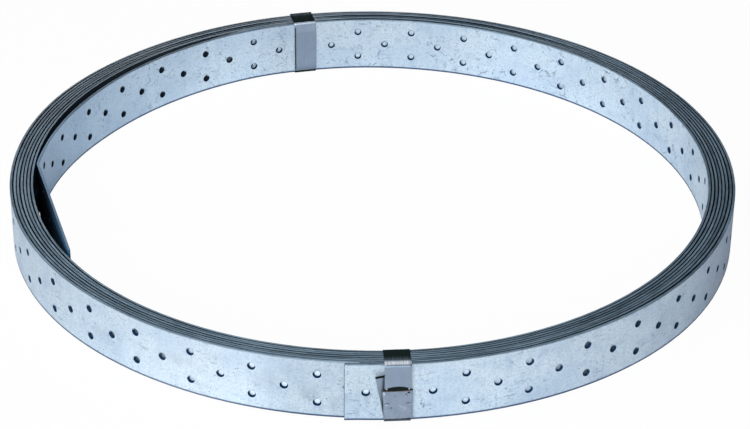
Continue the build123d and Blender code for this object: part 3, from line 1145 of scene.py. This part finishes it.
def steelBand(side):
    angle, outer, depth = standing(side)
    lean, standOff, crease, paintedSheen = (ties[side][key] for key in ("lean", "standOff", "crease", "paintedSheen"))
    path = bandPath(depth)
    stations = stationsOf(path, tie["rowSpacing"], tie["bendRows"])
    bm = flatStrip(stations, tie["width"], tie["columns"], tie["thickness"], tie["edgeBevel"])
    leanFrom = tie["underEnd"] - tie["leanHeight"]
    innerLeg, innerBend, topStart, bendStart, overLeg = (path[i]["begins"] for i in (4, 5, 6, 7, 8))
    legTop = onPath(path, overLeg)[0].y
    shade = bm.verts.layers.float.new("shade")
    for vert in bm.verts:
        along, across, deep = vert.co
        offset = dark = 0.0
        if along < leanFrom:
            along, across, offset, dark = lowerEnd(along, across, leanFrom, lean)
        elif along <= path[3]["begins"]:
            dark = tone["under"]
        elif along < innerBend:
            offset, dark = insideLeg(along - innerLeg, standOff, crease)
        elif along < topStart:
            dark = tone["insideBend"]
        elif along < bendStart:
            offset, dark = topRun((along - topStart) / (bendStart - topStart), paintedSheen)
        elif along < overLeg:
            dark = outerBend((along - bendStart) / (overLeg - bendStart), paintedSheen)
        else:
            offset, dark = upperEnd(legTop - (along - overLeg) - clasp["high"], across)
        vert[shade] = dark
        point, left = onPath(path, along)
        spot = point + left * (deep + offset)
        vert.co = (across, spot.x, spot.y)
    intoPlace(bm, angle, outer)
    return bm


def sealFace(across, level, crimp, x):
    # how far outwards its face stands: the flared mouth, the pinched sides, the crimp and the dimple
    dimpleAcross, dimpleHeight, dimpleRadius, dimpleDepth = clasp["dimple"]
    mouth = smooth(clasp["high"] - clasp["mouth"], clasp["high"], level)
    outward = clasp["flare"] * mouth * (1 - across**2) ** 0.5
    pillow = smooth(clasp["notch"], clasp["notch"] + clasp["pinchEnds"], level)
    sides = clasp["pinch"] * (1 - pillow) * abs(across) ** 3
    outward -= sides + clasp["crimpDepth"] * crimp * smooth(*clasp["crimpAcross"], abs(across))
    away = math.hypot(x - dimpleAcross, level - dimpleHeight)
    return outward - dimpleDepth * fade(0.3 * dimpleRadius, dimpleRadius, away)


def foldedSeal(side):
    # a sheet folded round the upper end, with its open seam at the back
    angle, outer = standing(side)[:2]
    fold = tie["thickness"] / 2 + clasp["play"]
    near = tie["overFace"] - tie["pressed"] - clasp["play"]
    half = (clasp["straight"] - clasp["seam"]) / 2
    steps = [(0, half), (-180, fold), (0, clasp["straight"]), (-180, fold), (0, half)]
    path = strollOn(Vector((-clasp["seam"] / 2, near)), 180, steps)
    height = clasp["high"] - clasp["low"]
    middleLevel = (clasp["low"] + clasp["high"]) / 2
    stations = stationsOf(path, tie["rowSpacing"], tie["bendRows"])
    bm = flatStrip(stations, height, clasp["rows"], clasp["thickness"], clasp["edgeBevel"])
    frontStart, frontEnd = path[2]["begins"], path[3]["begins"]
    for vert in bm.verts:
        along, up, deep = vert.co
        level = middleLevel + up
        point, left = onPath(path, along)
        spot = point + left * deep
        narrower = 1 - clasp["taper"] * fade(clasp["notch"], clasp["high"] - clasp["taperEnds"], level)
        crimp = math.exp(-((level - clasp["notch"]) / clasp["crimpHalf"]) ** 2)
        narrower -= clasp["crimpNarrower"] * crimp
        outward = 0.0
        if frontStart <= along <= frontEnd:
            across = 2 * (along - frontStart) / clasp["straight"] - 1
            outward = sealFace(across, level, crimp, spot.x)
        vert.co = (spot.x * narrower, spot.y + outward, level)
    tilt = Matrix.Rotation(clasp["tilt"], 3, "Y")
    bmesh.ops.rotate(bm, verts=bm.verts, cent=Vector((0, 0, middleLevel)), matrix=tilt)
    intoPlace(bm, angle, outer)
    return bm


# paint of the bands and seals
bandSteel = {
    "face": (0.305, 0.39, 0.515, 1),
    "pale": (0.43, 0.51, 0.62, 1),
    "dark": (0.09, 0.10, 0.12, 1),
    "edge": (0.10, 0.105, 0.12, 1),
    "shade": (0.008, 0.013, 0.0125, 1),
    # the colour of the painted sheen
    "paintedSheen": (0.74, 0.72, 0.69, 1),
    "metallic": 0.9,
    "roughness": 0.3,
    # drawn lines along the band, fine and wide, and clouds
    "brushed": {"stretch": (35, 1500, 1), "detail": 3, "roughness": 0.7, "range": (0.4, 0.68), "share": 0.14},
    "wide": {"stretch": (20, 380, 1), "detail": 3, "roughness": 0.6, "range": (0.5, 0.8), "share": 0.1},
    "cloud": {"scale": 180, "roughness": 0.6, "range": (0.4, 0.75), "share": 0.1},
    "sheenLines": (0.2, 0.85),  # how bright the painted sheen is between the fine lines, and more on them
    "darkLines": (1.35, 0.2),  # how dark the painted shade is between them, and less on them
    "glints": {"below": 0.0009, "across": (-0.0066, 0.0068), "reach": (0.0008, 0.0007)},  # painted highlights at the seal
    # painted shade of a gap along one side of the leg inside the coil
    "gap": {"from": 0.001, "to": 0.002, "fade": 0.002, "across": (0.0012, 0.0007), "share": 0.9},
    "edgeShare": 0.8,
    "rougher": {"brushed": 0.1, "cloud": 0.04, "dark": 0.25, "paintedSheen": 0.6},
    "relief": (0.25, 0.00008),  # strength and depth
}

sealSteel = {
    "face": (0.29, 0.355, 0.455, 1),
    "dull": (0.19, 0.235, 0.32, 1),
    "pale": (0.50, 0.56, 0.63, 1),
    "bright": (0.86, 0.87, 0.90, 1),
    "smudge": (0.03, 0.035, 0.05, 1),
    "rustyEdge": (0.075, 0.045, 0.03, 1),
    "metallic": 0.8,
    "roughness": 0.38,
    "clouds": {
        "dull": {"scale": 150, "detail": 5, "roughness": 0.65, "range": (0.35, 0.75), "share": 0.5},
        "pale": {"scale": 210, "roughness": 0.6, "distortion": 0.4, "range": (0.55, 0.75), "share": 0.6},
        "smudge": {"scale": 380, "roughness": 0.6, "distortion": 0.6, "range": (0.62, 0.76), "share": 0.5},
    },
    "edgeShare": 0.85,
    "topLine": {"range": (0.0007, 0.0002), "share": 0.8},  # below its top
    "rougher": 0.12,
    "relief": (0.2, 0.0001),
    "edgeMatt": 0.3,
    # dark marks on its face, two of them painted shade in the crimp: left and height from its middle, their
    # reach, turn and strength
    "marks": [
        ((-0.0066, 0.0086), (0.0013, 0.0010), 0.0, 1.0),
        ((-0.0052, 0.0072), (0.0019, 0.0005), 0.85, 0.7),
        ((0.0068, 0.0010), (0.0026, 0.0006), -0.1, 0.6),
        ((-0.0068, 0.0008), (0.0026, 0.0007), 0.1, 0.65),
        ((0.0041, -0.0021), (0.0008, 0.0009), 0.0, 0.8),
        ((0.0012, 0.0066), (0.0009, 0.0006), 0.4, 0.3),
    ],
    # painted glints, in the same columns
    "glints": [
        ((0.0080, 0.0083), (0.0007, 0.0016), 0.0, 0.5),
        ((0.0072, 0.0000), (0.0011, 0.0005), 0.0, 0.5),
        ((-0.0076, 0.0001), (0.0008, 0.0004), 0.0, 0.4),
    ],
}


def paintedGlints(paint, flat):
    # two painted glints where the upper end goes into the seal
    look = bandSteel["glints"]
    path = bandPath(standing("front")[2])
    overLeg = path[8]["begins"]
    mouth = overLeg + onPath(path, overLeg)[0].y - clasp["high"] - look["below"]
    return paint.larger(*(paint.mark(flat, (mouth, across), look["reach"]) for across in look["across"]))


def paintedGapShade(paint, flat):
    # painted shade along one side of the inside leg
    look = bandSteel["gap"]
    innerLeg = bandPath(standing("front")[2])[4]["begins"]
    low, high = innerLeg + look["from"], innerLeg + strap["width"] - look["to"]
    gap = paint.span(paint.axis(flat, "X"), (low, low + look["fade"]), (high - look["fade"], high))
    edge = (tie["width"] / 2 - x for x in look["across"])
    return gap * paint.ramp(0 - paint.axis(flat, "Y"), *edge)


def bandPaint():
    paint = Paint("bandSteel")
    flat, cut, shade = paint.flatMap(), paint.marked("cut"), paint.marked("shade")
    fine, wide, clouded = (bandSteel[key] for key in ("brushed", "wide", "cloud"))
    brushed = paint.grain(flat, fine)
    lines = paint.ramp(brushed, *fine["range"])
    cloud = paint.layer(flat, clouded)
    colour = paint.mix(lines * fine["share"], bandSteel["face"], bandSteel["pale"])
    colour = paint.mix(paint.layer(flat, wide) * wide["share"], colour, bandSteel["dark"])
    colour = paint.mix(cloud * clouded["share"], colour, bandSteel["dark"])
    # painted sheen where the shade attribute is below 0, painted shade where it is above
    between, more = bandSteel["sheenLines"]
    paintedSheen = paint.larger(0 - shade, 0) * (between + lines * more)
    between, less = bandSteel["darkLines"]
    dark = paint.ramp(paint.larger(shade, 0) * (between - lines * less), 0, 1)
    colour = paint.mix(paintedSheen, colour, bandSteel["paintedSheen"])
    glints = paintedGlints(paint, flat)
    colour = paint.mix(glints, colour, sealSteel["bright"])
    colour = paint.mix(cut * bandSteel["edgeShare"], colour, bandSteel["edge"])
    rougher = bandSteel["rougher"]
    rough = bandSteel["roughness"] + brushed * rougher["brushed"] - cloud * rougher["cloud"]
    rough = rough + dark * rougher["dark"] + paintedSheen * rougher["paintedSheen"]
    gap = paintedGapShade(paint, flat) * bandSteel["gap"]["share"]
    return paint.finish(
        paint.larger(dark * (1 - glints), gap), bandSteel["shade"],
        **{"Base Color": colour, "Metallic": bandSteel["metallic"] * (1 - paintedSheen), "Roughness": rough,
           "Normal": paint.bumped(brushed, *bandSteel["relief"])})


def sealPaint():
    paint = Paint("sealSteel")
    flat, cut = paint.flatMap(), paint.marked("cut")
    middle = clasp["straight"] - clasp["seam"] / 2 + math.pi * (tie["thickness"] / 2 + clasp["play"])
    colour = sealSteel["face"]
    clouds = {name: paint.layer(flat, look) for name, look in sealSteel["clouds"].items()}
    for name, look in sealSteel["clouds"].items():
        colour = paint.mix(clouds[name] * look["share"], colour, sealSteel[name])
    # dark marks, partly painted shade, and painted glints
    for kind, shine in (("marks", "smudge"), ("glints", "bright")):
        for (left, high), size, turn, strength in sealSteel[kind]:
            spot = paint.mark(flat, (middle + left, high), size, turn)
            colour = paint.mix(spot * strength, colour, sealSteel[shine])
    colour = paint.mix(cut * sealSteel["edgeShare"], colour, sealSteel["rustyEdge"])
    top, look = (clasp["high"] - clasp["low"]) / 2, sealSteel["topLine"]
    line = paint.ramp(paint.axis(flat, "Y"), *(top - x for x in look["range"]))
    colour = paint.mix(line * look["share"], colour, sealSteel["rustyEdge"])
    rough = sealSteel["roughness"] + clouds["dull"] * sealSteel["rougher"]
    return paint.finish(
        cut * sealSteel["edgeMatt"], sealSteel["rustyEdge"],
        **{"Base Color": colour, "Metallic": sealSteel["metallic"], "Roughness": rough,
           "Normal": paint.bumped(clouds["dull"], *sealSteel["relief"])})


bandFinish, sealFinish = bandPaint(), sealPaint()
for side in ties:
    addPiece(f"steel_band_{side}", steelBand(side), f"{side}_band", bandFinish)
    addPiece(f"folded_seal_{side}", foldedSeal(side), f"{side}_seal", sealFinish)


# floor, light and camera
studio = {
    "floorSize": 6.0,
    "floorShade": 0.6,
    "floorWhite": 0.97,  # share of the floor that the camera sees as plain white; the rest keeps the shadow
    "whiteInMetal": 0.1,  # the same for what metal reflects, of floor and world alike
    "worldColour": (0.55, 0.78, 1.0, 1),
    "worldLevel": 0.06,
    "lamps": {
        "leftBox": {"at": (-2.65, -4.59, 2.82), "size": 2.6, "power": 285},
        "frontBox": {"at": (0, -5.30, 2.82), "size": 2.6, "power": 255},
        "backBox": {"at": (-0.52, 5.88, 1.04), "size": 2.6, "power": 75},
        "overBox": {"at": (-0.20, -0.15, 0.64), "size": 0.3, "power": 1.8},
    },
}


def whiteToCamera(paint, metalShare, whiteShare, other):
    # plain white for the camera and through glass, and partly in reflections
    rays = [paint.make("ShaderNodeLightPath", None, None, f"Is {kind} Ray") for kind in (
        "Camera", "Transmission", "Glossy")]
    share = paint.larger(paint.larger(rays[0], rays[1]) * whiteShare, rays[2] * metalShare)
    own = paint.make(paint.glow, None, {"Color": (1, 1, 1, 1), "Strength": 1.0})
    return paint.make("ShaderNodeMixShader", None, {0: share, 1: other, 2: own})


def addFloor():
    paint = Paint("paleFloor")
    shade = studio["floorShade"]
    dull = paint.make("ShaderNodeBsdfDiffuse", None, {"Color": (shade, shade, shade, 1)})
    surface = whiteToCamera(paint, studio["whiteInMetal"], studio["floorWhite"], dull)
    paint.tree.links.new(surface.socket, paint.output.inputs["Surface"])
    bm = bmesh.new()
    bmesh.ops.create_grid(bm, x_segments=1, y_segments=1, size=studio["floorSize"] / 2)
    mesh = bpy.data.meshes.new("floor")
    bm.to_mesh(mesh)
    bm.free()
    floor = bpy.data.objects.new("floor", mesh)
    mesh.materials.append(paint.material)
    scene.collection.objects.link(floor)


def addWorld():
    # a dim room around the lamps; the camera sees it white
    paint = Paint("studioRoom", bpy.data.worlds)
    scene.world = paint.material
    dim = paint.make(paint.glow, None, {"Color": studio["worldColour"], "Strength": studio["worldLevel"]})
    surface = whiteToCamera(paint, studio["whiteInMetal"], 1.0, dim)
    paint.tree.links.new(surface.socket, paint.output.inputs["Surface"])


def addLamps():
    for name, lamp in studio["lamps"].items():
        light = bpy.data.lights.new(name, "AREA")
        light.shape = "DISK"
        light.size = lamp["size"]
        light.energy = lamp["power"]
        holder = bpy.data.objects.new(name, light)
        scene.collection.objects.link(holder)
        holder.visible_camera = False
        aim = (Vector((0, 0, 0)) - Vector(lamp["at"])).to_track_quat("-Z", "Y")
        holder.matrix_world = Matrix.Translation(lamp["at"]) @ aim.to_matrix().to_4x4()


view = {
    "distance": 1.65703,
    "elevation": 0.5288,  # radians, as are the rest
    "aim": 0.0088,  # below the middle of the coil
    "yaw": 0.0020,
    "roll": 0.0096,
    "lens": 118.12,
    "aimHeight": 0.020,
}


def addCamera():
    lens = bpy.data.cameras.new("camera")
    lens.lens = view["lens"]
    lens.sensor_width = 36
    lens.sensor_fit = "HORIZONTAL"
    lens.clip_start = 0.05
    camera = bpy.data.objects.new("camera", lens)
    scene.collection.objects.link(camera)
    away, high = math.cos(view["elevation"]), math.sin(view["elevation"])
    place = (0, -view["distance"] * away, view["aimHeight"] + view["distance"] * high)
    pitch = math.pi / 2 - (view["elevation"] + view["aim"])
    turnTo = Matrix.Rotation(-view["yaw"], 4, "Z") @ Matrix.Rotation(pitch, 4, "X")
    camera.matrix_world = Matrix.Translation(place) @ turnTo @ Matrix.Rotation(view["roll"], 4, "Z")
    scene.camera = camera


addFloor()
addWorld()
addLamps()
addCamera()
scene.view_settings.view_transform = "Standard"
print("studio and camera set")
